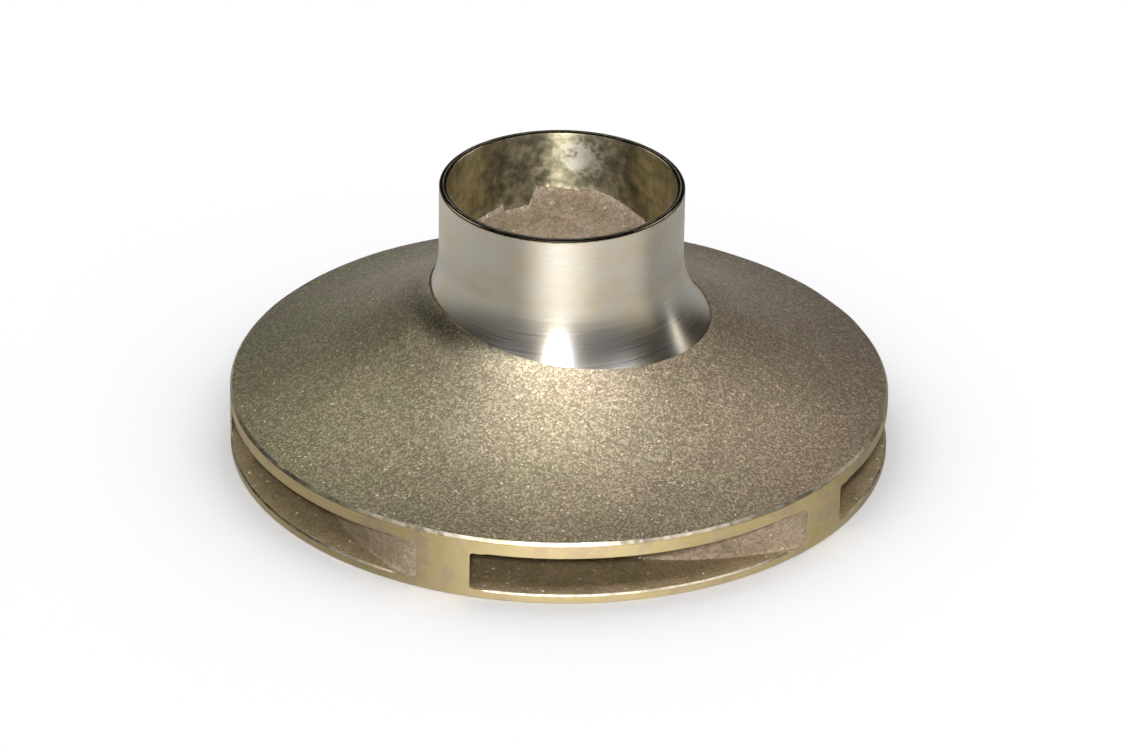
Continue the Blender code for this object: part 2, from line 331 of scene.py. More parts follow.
def turning_marks(tree, place, pitch, length):
    """Grooves that the lathe's tool left round the shaft, of uneven depth along their way."""
    across = add(tree, "Math", {0: place["feed"], 1: 1 / pitch}, operation="MULTIPLY")["Value"]
    across = add(tree, "CombineXYZ", {"Z": across})["Vector"]
    along = (1 / length, 1 / length, 0.0)
    where = add(tree, "VectorMath", {0: place["flat"], 1: along, 2: across},
                operation="MULTIPLY_ADD")["Vector"]
    return add(tree, "TexNoise", {"Vector": where, "Scale": 1.0, "Detail": 3.0,
                                  "Roughness": 0.6})[0]


def turned_bronze():
    """Turned tin bronze: bright and greyish, tan in patches where it has dulled.

    The tool's real pitch is about 0.1 mm, too fine to show; here it is 0.3 mm.
    """
    metal, tree, shader, place = start_bronze("turned_tin_bronze")
    marks = turning_marks(tree, place, 0.3, 30.0)
    bands = turning_marks(tree, place, 2.6, 60.0)
    dull = add(tree, "TexNoise", {"Vector": place["spot"], "Scale": 1 / 8.0, "Detail": 4.0})[0]
    shade = add(tree, "Math", {0: bands, 1: 0.35, 2: dull}, operation="MULTIPLY_ADD")["Value"]
    shade = add(tree, "MapRange", {0: shade, 1: 0.52, 2: 0.82})[0]
    colour = add(tree, "ValToRGB", {0: shade},
                 stops=[(0.0, "#E2DCCF"), (0.5, "#E2D9C6"), (1.0, "#E0D2B8")])["Color"]
    shade = add(tree, "MapRange", {0: marks, 1: 0.3, 2: 0.7, 3: 0.9, 4: 1.08})[0]
    colour = add(tree, "VectorMath", {0: colour, "Scale": shade}, operation="SCALE")["Vector"]
    rough = add(tree, "MapRange", {0: marks, 1: 0.3, 2: 0.7, 3: 0.26, 4: 0.34})[0]
    relief = add(tree, "Bump", {"Height": marks, "Strength": 0.35, "Distance": 0.012 * MM})
    finish_bronze(tree, shader, colour, rough, relief)
    groove_gloss(tree, shader, place, 0.75)
    return metal


def rim_bronze():
    """Turned tin bronze that was handled and has dulled: golden, with brown and pink stains.

    The tool's real pitch is about 0.15 mm, too fine to show; here it is 0.4 mm.
    """
    metal, tree, shader, place = start_bronze("dulled_rim_bronze")
    marks = turning_marks(tree, place, 0.4, 30.0)
    stain = add(tree, "TexNoise", {"Vector": place["spot"], "Scale": 1 / 7.0, "Detail": 5.0,
                                   "Roughness": 0.6})[0]
    colour = add(tree, "ValToRGB", {0: stain},
                 stops=[(0.3, "#CDB880"), (0.5, "#D4C08E"), (0.62, "#C9B18D")])["Color"]
    rough = add(tree, "MapRange", {0: marks, 1: 0.3, 2: 0.7, 3: 0.32, 4: 0.46})[0]
    relief = add(tree, "Bump", {"Height": marks, "Strength": 0.5, "Distance": 0.02 * MM})
    finish_bronze(tree, shader, colour, rough, relief)
    groove_gloss(tree, shader, place, 0.6)
    return metal


def edge_bronze():
    """Tin bronze on the edges, with small dull nicks: its paler colour is a painted highlight
    along them.
    """
    metal, tree, shader, place = start_bronze("pale_edge_bronze")
    rub = add(tree, "TexNoise", {"Vector": place["spot"], "Scale": 1 / 1.5, "Detail": 3.0})[0]
    colour = add(tree, "ValToRGB", {0: rub},
                 stops=[(0.35, "#C9BA98"), (0.6, "#E4D9BE")])["Color"]
    rough = add(tree, "MapRange", {0: rub, 1: 0.3, 2: 0.7, 3: 0.3, 4: 0.45})[0]
    relief = add(tree, "Bump", {"Height": rub, "Strength": 0.3, "Distance": 0.05 * MM})
    finish_bronze(tree, shader, colour, rough, relief)
    return metal


def faced_end_bronze():
    """The neck's narrow end, faced tin bronze worn smooth: dark, nearly a mirror."""
    metal, tree, shader, place = start_bronze("faced_end_bronze")
    worn = add(tree, "TexNoise", {"Vector": place["spot"], "Scale": 1 / 2.5, "Detail": 3.0})[0]
    colour = add(tree, "ValToRGB", {0: worn},
                 stops=[(0.3, "#6E6654"), (0.7, "#8B8068")])["Color"]
    rough = add(tree, "MapRange", {0: worn, 1: 0.3, 2: 0.7, 3: 0.12, 4: 0.2})[0]
    relief = add(tree, "Bump", {"Height": worn, "Strength": 0.1, "Distance": 0.02 * MM})
    finish_bronze(tree, shader, colour, rough, relief)
    return metal


def faced_back_bronze():
    """Faced tin bronze on the back and the hub's ends: bright rings from a coarser feed.

    The tool's real pitch is about 0.2 mm, too fine to show; here it is 0.45 mm.
    """
    metal, tree, shader, place = start_bronze("faced_back_bronze")
    marks = turning_marks(tree, place, 0.45, 45.0)
    dull = add(tree, "TexNoise", {"Vector": place["spot"], "Scale": 1 / 14.0, "Detail": 3.0})[0]
    colour = add(tree, "ValToRGB", {0: dull},
                 stops=[(0.3, "#BFB190"), (0.7, "#B39F74")])["Color"]
    rough = add(tree, "MapRange", {0: marks, 1: 0.3, 2: 0.7, 3: 0.28, 4: 0.42})[0]
    relief = add(tree, "Bump", {"Height": marks, "Strength": 0.6, "Distance": 0.03 * MM})
    finish_bronze(tree, shader, colour, rough, relief)
    groove_gloss(tree, shader, place, 0.7)
    return metal


def bored_bronze():
    """Bored tin bronze in the eye: dark and stained by water, with a paler patch of scale.

    The tool's real pitch is about 0.2 mm, too fine to show; here it is 0.35 mm.
    """
    metal, tree, shader, place = start_bronze("bored_tin_bronze")
    marks = turning_marks(tree, place, 0.35, 9.0)
    stain = add(tree, "TexNoise", {"Vector": place["spot"], "Scale": 1 / 2.2, "Detail": 6.0,
                                   "Roughness": 0.65})[0]
    off = add(tree, "VectorMath", {0: place["spot"], 1: SCALE_PATCH}, operation="DISTANCE")
    patch = add(tree, "Math", {0: off["Value"], 1: -0.06, 2: stain},
                operation="MULTIPLY_ADD")["Value"]
    patch = add(tree, "MapRange", {0: patch, 1: 0.2, 2: 0.36})[0]
    colour = add(tree, "ValToRGB", {0: stain},
                 stops=[(0.36, "#A39B7C"), (0.5, "#BDB492"), (0.62, "#D8CAA0")])["Color"]
    colour = add(tree, "MixRGB", {"Fac": patch, "Color1": colour,
                                  "Color2": linear("#CCC7B0")})["Color"]
    rough = add(tree, "MapRange", {0: stain, 1: 0.35, 2: 0.65, 3: 0.38, 4: 0.5})[0]
    rough = add(tree, "Math", {0: patch, 1: 0.1, 2: rough}, operation="MULTIPLY_ADD")["Value"]
    relief = add(tree, "Bump", {"Height": marks, "Strength": 0.5, "Distance": 0.02 * MM})
    relief = add(tree, "Bump", {"Height": stain, "Strength": 0.35, "Distance": 0.08 * MM,
                                "Normal": relief["Normal"]})
    finish_bronze(tree, shader, colour, rough, relief)
    groove_gloss(tree, shader, place, 0.85)
    return metal


def sand_grain(tree, place, grain):
    """Rounded grains: their relief, a tone for each grain, and the few that glint."""
    cells = add(tree, "TexVoronoi", {"Vector": place["spot"], "Scale": 1 / grain})
    chance = add(tree, "SeparateColor", {0: cells["Color"]})
    fine = add(tree, "TexNoise", {"Vector": place["spot"], "Scale": 2.0 / grain,
                                  "Detail": 2.0})[0]
    dome = add(tree, "Math", {0: cells["Distance"], 1: -0.6, 2: fine},
               operation="MULTIPLY_ADD")["Value"]
    glint = add(tree, "MapRange", {0: chance["Green"], 1: 0.987, 2: 0.999})[0]
    return dome, chance["Red"], glint


def blasted_bronze():
    """Sand cast tin bronze, cleaned with grit: a dull skin of rounded, sparkling grains.

    It is olive towards -X and a pinkish brown towards +X, and darker towards the rim. The grit
    leaves dents of about 0.2 mm; here they are 0.34 mm, so that they show.
    """
    metal, tree, shader, place = start_bronze("blasted_cast_bronze")
    dome, tone, glint = sand_grain(tree, place, 0.34)
    cloud = add(tree, "TexNoise", {"Vector": place["spot"], "Scale": 1 / 9.0, "Detail": 4.0})[0]
    tint = add(tree, "MapRange", {0: place["side"], 1: -TINT_REACH, 2: TINT_REACH, 3: 0.0,
                                  4: 0.5})[0]
    tint = add(tree, "Math", {0: cloud, 1: 0.5, 2: tint}, operation="MULTIPLY_ADD")["Value"]
    colour = add(tree, "ValToRGB", {0: tint},
                 stops=[(0.2, "#9E9776"), (0.5, "#A79A7E"), (0.8, "#A8957E")])["Color"]
    tone = add(tree, "Math", {0: tone, 1: 2.0}, operation="POWER")["Value"]
    shade = add(tree, "MapRange", {0: tone, 3: 0.66, 4: 1.65})[0]
    # the skin grows darker towards the rim
    towards_rim = add(tree, "MapRange", {0: place["radius"], 1: RIM_DARKENING_RADII[0], 2: RIM_DARKENING_RADII[1], 3: 1.0,
                                     4: RIM_DARKENING_SHADE})[0]
    shade = add(tree, "Math", {0: shade, 1: towards_rim}, operation="MULTIPLY")["Value"]
    colour = add(tree, "VectorMath", {0: colour, "Scale": shade}, operation="SCALE")["Vector"]
    colour = add(tree, "MixRGB", {"Fac": glint, "Color1": colour,
                                  "Color2": linear("#F6EAD0")})["Color"]
    rough = add(tree, "MapRange", {0: glint, 3: 0.42, 4: 0.36})[0]
    relief = add(tree, "Bump", {"Height": dome, "Strength": 0.28, "Distance": 0.16 * MM})
    finish_bronze(tree, shader, colour, rough, relief)
    return metal


def sandy_bronze(name, shades, metallic):
    """Tin bronze as it left the sand core: grainy, under a dull skin of oxide and sand.

    The skin scatters light as stone does, so only a part of it shines as a metal. The core's
    sand has grains of about 0.25 mm; here they are 0.45 mm, so that they show.
    """
    metal, tree, shader, place = start_bronze(name)
    shader.inputs["Metallic"].default_value = metallic
    dome, tone, glint = sand_grain(tree, place, 0.45)
    cloud = add(tree, "TexNoise", {"Vector": place["spot"], "Scale": 1 / 5.0, "Detail": 4.0})[0]
    colour = add(tree, "ValToRGB", {0: cloud},
                 stops=list(zip((0.35, 0.5, 0.65), shades)))["Color"]
    shade = add(tree, "MapRange", {0: tone, 3: 0.75, 4: 1.25})[0]
    colour = add(tree, "VectorMath", {0: colour, "Scale": shade}, operation="SCALE")["Vector"]
    colour = add(tree, "MixRGB", {"Fac": glint, "Color1": colour,
                                  "Color2": linear("#E8DCC0")})["Color"]
    rough = add(tree, "MapRange", {0: glint, 3: 0.68, 4: 0.5})[0]
    relief = add(tree, "Bump", {"Height": dome, "Strength": 0.7, "Distance": 0.14 * MM})
    finish_bronze(tree, shader, colour, rough, relief)
    return metal


def sand_wave(radius, angle, seed):
    """Unevenness of the passages' walls, which fades out towards the turned rim."""
    height, size = PASSAGE_WAVE
    inside = np.clip((RIM_RADIUS - radius) / PASSAGE_WAVE_FADE, 0, 1)
    x, y = radius * np.cos(angle), radius * np.sin(angle)
    return height * inside * waves(x, y, 0, size, seed)


def ground(radius, angle):
    """The passages' floor as the sand left it."""
    return passage_floor(radius) + sand_wave(radius, angle, 21)


def roof(radius, angle):
    """The passages' roof as the sand left it."""
    return ceiling(radius) + sand_wave(radius, angle, 22)


def casting(name, points, faces, metals, metal_of_face):
    """A piece of the casting as a mesh of points in mm, with its metals and its shading."""
    data = bpy.data.meshes.new(name)
    data.from_pydata((np.asarray(points) * MM).tolist(), [], faces)
    for metal in metals:
        data.materials.append(metal)
    data.polygons.foreach_set("material_index", metal_of_face)
    data.validate()
    data.shade_smooth()
    data.set_sharp_from_angle(angle=SHARPEST_SMOOTH)
    piece = bpy.data.objects.new(name, data)
    bpy.context.scene.collection.objects.link(piece)
    return piece


def ring(name, outline, metals):
    """A closed ring round the shaft.

    Each point of the outline is (radius, height, metal of the strip up to the next point).
    The outline runs up the outside, inwards, down the inside and back underneath. A radius or
    a height is one number, or an array with one for each azimuth.
    """
    count = len(outline)
    radii = np.stack([np.broadcast_to(point[0], AROUND) for point in outline], axis=1)
    heights = np.stack([np.broadcast_to(point[1], AROUND) for point in outline], axis=1)
    turn = azimuths[:, None]
    points = np.stack((radii * np.cos(turn), radii * np.sin(turn), heights), axis=2)
    here = np.arange(AROUND)[:, None] * count + np.arange(count)
    beside = np.roll(here, -1, axis=0)
    faces = np.stack((here, beside, np.roll(beside, -1, 1), np.roll(here, -1, 1)), axis=2)
    metal_of_face = np.tile([metals.index(point[2]) for point in outline], AROUND)
    return casting(name, points.reshape(-1, 3), faces.reshape(-1, 4).tolist(), metals,
                   metal_of_face)


def steps(start, end, count):
    """Even steps from start to end, both included, where either may be an array."""
    return [start + (end - start) * i / (count - 1) for i in range(count)]


def off_land(angle):
    """Degrees, one at most, by which an angle misses the vanes' turned ends in the rim."""
    past = np.degrees((angle - VANE_TIP) % (2 * pi / VANE_COUNT))
    return np.clip(np.minimum(past - LAND_AHEAD, 360 / VANE_COUNT - LAND_BEHIND - past), 0, 1)


def suction_neck():
    """The turned neck with its flare, its faced end, the boring and the cast wall below it."""
    wider, deeper = FLARE_FOOT
    foot = flare_end(azimuths) + wider
    centre = NECK_RADIUS + FLARE_RADIUS
    lean = np.arccos((centre - foot) / FLARE_RADIUS)
    outline = [(foot, flare_height(foot) - deeper, eye_wall)]
    for angle in steps(lean, 0.0, 30):
        outline.append((centre - FLARE_RADIUS * np.cos(angle),
                        FLARE_TOP - FLARE_RADIUS * np.sin(angle), turned))
    outer, inner = END_FACE_BREAK, BORE_MOUTH_BREAK
    line_start, line_end = END_FACE_LINE
    outline += [
        (NECK_RADIUS, NECK_RING, turned),
        # a pale band under the neck's outer edge: a painted highlight line
        (NECK_RADIUS, NECK_END - outer - PALE_EDGE_BAND, edge_metal),
        (NECK_RADIUS, NECK_END - outer, end_face),
        (NECK_RADIUS - 0.3 * outer, NECK_END - 0.3 * outer, end_face),
        (NECK_RADIUS - outer, NECK_END, end_face),
        (NECK_RADIUS - line_start, NECK_END, edge_metal),
        (NECK_RADIUS - line_end, NECK_END, end_face),
        (BORE_RADIUS + inner, NECK_END, end_face),
        (BORE_RADIUS + 0.2 * inner, NECK_END - 0.4 * inner, bored),
    ]
    ends = np.interp((np.degrees(azimuths) + 180) % 360 - 180, *zip(*BORING_ENDS))
    height, length = BORING_WAVE
    ends = ends + height * waves(azimuths * BORE_RADIUS, 0, 0, length, 11)
    outline += [(BORE_RADIUS, height, bored) for height in steps(NECK_END - inner, ends, 12)]
    outline[-1] = (BORE_RADIUS, ends, eye_wall)
    bump, size = EYE_WALL_WAVE
    top, foot = EYE_WALL_TAPER
    x, y = EYE_RADIUS * np.cos(azimuths), EYE_RADIUS * np.sin(azimuths)
    for share in steps(0.0, 1.0, 14):
        height = ends - BORING_STEP + (EYE_SEAM - ends + BORING_STEP) * share
        rough = bump * waves(x, y, height, size, 5) * (1 - share)
        outline.append((EYE_RADIUS + top + rough + (foot - top) * share, height, eye_wall))
    outline.append((EYE_RADIUS + SEAM_LAP, EYE_SEAM - SEAM_LAP, eye_wall))
    return ring("suction_neck_turned", outline, [turned, edge_metal, end_face, bored, eye_wall])


def front_shroud():
    """The blasted cone, its turned rim, the cast roof of the passages and the eye's lip."""
    end = flare_end(azimuths)
    low, more = SHOULDER
    shoulder = flare_height(end) + low + more * np.clip(-np.cos(azimuths), 0, 1) ** 2
    lift = shoulder - cast_skin(end, azimuths)
    edge = OUTLET_EDGE_BREAK * off_land(azimuths)
    chamfer = RIM_CHAMFER
    groove = RIM_GROOVE
    outline = [
        # the outlets' edges and the rim's top chamfer take the pale edge metal: a painted
        # highlight
        (RIM_RADIUS - edge, OUTLET_CEILING, edge_metal),
        (RIM_RADIUS, OUTLET_CEILING + edge, rim),
        (RIM_RADIUS, RIM_TOP - chamfer - 2 * groove, rim),
        (RIM_RADIUS - groove, RIM_TOP - chamfer - 1.5 * groove, rim),
        (RIM_RADIUS - groove, RIM_TOP - chamfer - 0.5 * groove, rim),
        (RIM_RADIUS, RIM_TOP - chamfer, edge_metal),
    ]
    for radius in steps(RIM_RADIUS - chamfer, end + SHOULDER_ROUNDING, 60):
        away = np.clip((radius - end) / SHOULDER_FADE, 0, 1)
        height = cast_skin(radius, azimuths) + lift * (1 - away) ** 2
        outline.append((radius, height, blasted))
    lower = SHOULDER_ROUNDING
    outline += [
        (end + 0.3 * lower, shoulder - 0.3 * lower, blasted),
        (end, shoulder - lower, blasted),
        (end - SEAM_LAP / 4, flare_height(end) - 1.5 * SEAM_LAP, eye_wall),
        (EYE_RADIUS + 2 * SEAM_LAP, EYE_SEAM + SEAM_LAP / 2, eye_wall),
    ]
    centre_radius, centre_height = lip_centre()
    start = pi + asin((centre_height - EYE_SEAM) / EYE_LIP)
    stop = 1.5 * pi - asin(CEILING_SLOPE / sqrt(1 + CEILING_SLOPE ** 2))
    for angle in steps(start, stop, 12):
        outline.append((centre_radius + EYE_LIP * cos(angle),
                        centre_height + EYE_LIP * sin(angle), eye_wall))
    touch = centre_radius + EYE_LIP * cos(stop)
    for radius in steps(touch, RIM_RADIUS - edge, 34)[1:-1]:
        outline.append((radius, roof(radius, azimuths), passage))
    return ring("front_shroud_cast", outline, [rim, edge_metal, blasted, eye_wall, passage])


def back_shroud():
    """The thin back plate: cast inside, turned at the rim and on the back."""
    edge = OUTLET_EDGE_BREAK * off_land(azimuths)
    back = BACK_EDGE_BREAK
    outline = [
        (RIM_RADIUS - back, 0.0, rim),
        (RIM_RADIUS - 0.3 * back, 0.3 * back, rim),
        (RIM_RADIUS, back, rim),
        # the outlets' lower edges take the pale edge metal: a painted highlight
        (RIM_RADIUS, OUTLET_FLOOR - edge, edge_metal),
    ]
    for radius in steps(RIM_RADIUS - edge, HUB_RADIUS, 40):
        outline.append((radius, ground(radius, azimuths), passage))
    outline.append((HUB_RADIUS, 0.0, faced))
    outline += [(radius, 0.0, faced) for radius in BACK_RINGS]
    return ring("back_shroud_turned", outline, [rim, edge_metal, passage, faced])


def keyed_bore(extra):
    """Radius of the shaft's bore at each azimuth, with the keyway's square corners."""
    off = (azimuths - KEYWAY_ANGLE + pi) % (2 * pi) - pi
    half, reach = KEYWAY_HALF + extra, KEYWAY_REACH + extra
    round_bore = SHAFT_RADIUS + extra
    side = half / np.maximum(np.abs(np.sin(off)), 1e-6)
    slot = np.minimum(side, reach / np.maximum(np.cos(off), 1e-6))
    in_slot = (np.abs(off) < asin(half / round_bore)) & (np.cos(off) > 0)
    return np.where(in_slot, np.maximum(slot, round_bore), round_bore)


def hub():
    """The hub: cast and concave outside, with a turned nose, the bore and its keyway."""
    edge = HUB_EDGE_BREAK
    outline = [(HUB_RADIUS, 0.0, passage)]
    outline += [(radius, ground(radius, azimuths), passage)
                for radius in steps(HUB_RADIUS, NOSE_RADIUS + NOSE_FOOT, 20)]
    centre_height = back_floor(HUB_RADIUS) + HUB_SWEEP
    low = float(passage_floor(np.array(NOSE_RADIUS + NOSE_FOOT)))
    for height in steps(low, NOSE_HEIGHT - edge, 10)[1:]:
        off = sqrt(max(HUB_SWEEP ** 2 - (centre_height - height) ** 2, 0))
        outline.append((max(HUB_RADIUS - off, NOSE_RADIUS), height, passage))
    outline += [
        (NOSE_RADIUS, NOSE_HEIGHT - edge, faced),
        (NOSE_RADIUS - 0.3 * edge, NOSE_HEIGHT - 0.3 * edge, faced),
        (NOSE_RADIUS - edge, NOSE_HEIGHT, faced),
        (keyed_bore(edge), NOSE_HEIGHT, faced),
        (keyed_bore(0.0), NOSE_HEIGHT - edge, faced),
        (keyed_bore(0.0), NOSE_HEIGHT / 2, faced),
        (keyed_bore(0.0), edge, faced),
        (keyed_bore(edge), 0.0, faced),
        (HUB_RING, 0.0, faced),
    ]
    return ring("hub_keyed", outline, [passage, faced])


def vane_slope(radius):
    """Tangent of the angle between the vane and the circle through it."""
    return VANE_EXIT_SLOPE + VANE_SLOPE_GAIN * (1 - radius / RIM_RADIUS)


def vane_turn(radius):
    """Angle back along the vane's spiral, zero at the rim."""
    share = radius / RIM_RADIUS * VANE_EXIT_SLOPE / vane_slope(radius)
    return np.log(share) / (VANE_EXIT_SLOPE + VANE_SLOPE_GAIN)


def vane_thickness(radius):
    """Thickness of a vane, rounded off at its nose in the eye."""
    along = (radius - VANE_INLET) / (RIM_RADIUS - VANE_INLET)
    full = VANE_INLET_THICKNESS + (VANE_EXIT_THICKNESS - VANE_INLET_THICKNESS) * along
    into = np.clip((radius - VANE_INLET) / VANE_NOSE_LENGTH, 0.003, 1)
    return full * np.sqrt(1 - (1 - into) ** 2)


def vane(number):
    """One backward-curved vane: rounded at the eye, coved into the shrouds, turned at the rim."""
    shares = np.linspace(0, 1, VANE_NOSE_STATIONS)[:-1] ** VANE_NOSE_EASE
    nose = VANE_INLET + (VANE_UNDER_SHROUD - VANE_INLET) * shares
    shelf = np.linspace(VANE_UNDER_SHROUD, RIM_RADIUS - OUTLET_EDGE_BREAK, VANE_STATIONS)
    radii = np.concatenate((nose, shelf, [RIM_RADIUS]))
    thickness = vane_thickness(radii)
    tip = VANE_TIP + 2 * pi * number / VANE_COUNT
    sine = vane_slope(radii) / np.sqrt(1 + vane_slope(radii) ** 2)
    middle = tip + vane_turn(radii) - thickness / (2 * radii * sine)
    low = ground(radii, middle)
    inlet_top = float(passage_floor(np.array(VANE_INLET))) + VANE_NOSE_HEIGHT
    ramp = (radii - VANE_INLET) / (VANE_UNDER_SHROUD - VANE_INLET)
    lip_height = float(ceiling(np.array(VANE_UNDER_SHROUD)))
    high = np.where(ramp < 1, inlet_top + (lip_height - inlet_top) * ramp, roof(radii, middle))
    covered = np.clip((radii - VANE_UNDER_SHROUD) / VANE_COVERED, 0, 1)
    half_width = thickness / 2
    half_width[-1] -= OUTLET_EDGE_BREAK
    sides = []
    for cove_height, cove_width in (INNER_COVE, OUTER_COVE):
        cove = np.minimum(cove_height, COVE_SHARE * (high - low))
        rows = [(low - BURIED, half_width + cove_width)]
        for turn in steps(0.0, pi / 2, 6):
            rows.append((low + cove * (1 - cos(turn)), half_width + cove_width * (1 - sin(turn))))
        for share in (0.25, 0.5, 0.75):
            rows.append((low + cove + (high - low - 2 * cove) * share, half_width))
        for turn in steps(pi / 2, 0.0, 6):
            widened = cove_width * (1 - sin(turn)) * covered
            rounded = thickness * VANE_TOP_ROUNDING * (1 - sin(turn)) * (1 - covered)
            rows.append((high - cove * (1 - cos(turn)), half_width + widened - rounded))
        cap = thickness * VANE_TOP_WIDTH * (1 - covered) + (half_width + cove_width) * covered
        top = high + VANE_TOP_RISE + BURIED * covered
        rows.append((top, np.minimum(cap, rows[-1][1])))
        sides.append(rows)
    inner, outer = sides
    loop = inner + [(height, -off) for height, off in outer[::-1]]
    heights = np.stack([np.broadcast_to(height, radii.shape) for height, _ in loop], axis=1)
    offsets = np.stack([np.broadcast_to(off, radii.shape) for _, off in loop], axis=1)
    reach = np.repeat(radii[:, None], len(loop), axis=1)
    half = len(inner)
    hidden = [0, half - 1, half, 2 * half - 1]
    reach[-1, hidden] -= BURIED
    angle = middle[:, None] + offsets / (radii * sine)[:, None]
    points = np.stack((reach * np.cos(angle), reach * np.sin(angle), heights), axis=2)
    count = len(loop)
    here = np.arange(len(radii) - 1)[:, None] * count + np.arange(count)
    beside = here + count
    faces = np.stack((here, np.roll(here, -1, 1), np.roll(beside, -1, 1), beside), axis=2)
    faces = faces.reshape(-1, 4).tolist()
    metal_of_face = [0] * len(faces)
    pairs = [(row, count - 1 - row) for row in range(half)]
    for (a, b), (c, d) in zip(pairs, pairs[1:]):
        faces.append((a, b, d, c))
        metal_of_face.append(0)
    points = points.reshape(-1, 3).tolist()
    last = (len(radii) - 1) * count
    land = []
    for row, (first, second) in enumerate(pairs):
        line = [last + first]
        for share in steps(0.0, 1.0, LAND_COLUMNS + 1)[1:-1]:
            turn = angle[-1, first] + (angle[-1, second] - angle[-1, first]) * share
            radius = reach[-1, first]
            line.append(len(points))
            points.append((radius * cos(turn), radius * sin(turn), heights[-1, first]))
        land.append(line + [last + second])
    for lower, upper in zip(land, land[1:]):
        for column in range(LAND_COLUMNS):
            faces.append((lower[column], upper[column], upper[column + 1], lower[column + 1]))
            metal_of_face.append(1)
    return casting(f"vane_{number + 1}_cast", points, faces, [vane_skin, rim], metal_of_face)


def table_sheet(name, height, finish):
    """A flat square, in metres, which isn't a part of the casting."""
    data = bpy.data.meshes.new(name)
    half = FLOOR_SIZE / 2
    corners = ((-half, -half), (half, -half), (half, half), (-half, half))
    data.from_pydata([(x, y, height) for x, y in corners], [], [(0, 1, 2, 3)])
    data.materials.append(finish)
    sheet = bpy.data.objects.new(name, data)
    bpy.context.scene.collection.objects.link(sheet)
    return sheet


def pale_floor():
    """The white table as the camera sees it; the metal mirrors another sheet."""
    white = bpy.data.materials.new("white_card")
    white.use_nodes = True
    shader = white.node_tree.nodes["Principled BSDF"]
    shader.inputs["Base Color"].default_value = linear("#EEEEF0")
    shader.inputs["Roughness"].default_value = 1.0
    floor = table_sheet("pale_floor", -FLOOR_UNDER, white)
    floor.visible_glossy = False
    floor.visible_diffuse = False
    return floor


def white_backdrop():
    """A white wall all round, which only the camera sees."""
    paper = bpy.data.materials.new("white_paper")
    paper.use_nodes = True
    tree = paper.node_tree
    light = add(tree, "Emission", {"Color": linear("#FDFDFF")})["Emission"]
    tree.links.new(light, tree.nodes["Material Output"].inputs["Surface"])
    data = bpy.data.meshes.new("white_backdrop")
    around = azimuths[::AROUND // BACKDROP_SIDES]
    corners = [(BACKDROP_RADIUS * cos(turn), BACKDROP_RADIUS * sin(turn), height)
               for turn in around for height in (-TABLE_UNDER, BACKDROP_HEIGHT)]
    count = len(corners)
    data.from_pydata(corners, [], [(i, i + 1, (i + 3) % count, (i + 2) % count)
                                   for i in range(0, count, 2)])
    data.materials.append(paper)
    backdrop = bpy.data.objects.new("white_backdrop", data)
    bpy.context.scene.collection.objects.link(backdrop)
    backdrop.visible_glossy = False
    backdrop.visible_diffuse = False
    backdrop.visible_shadow = False
    backdrop.visible_transmission = False


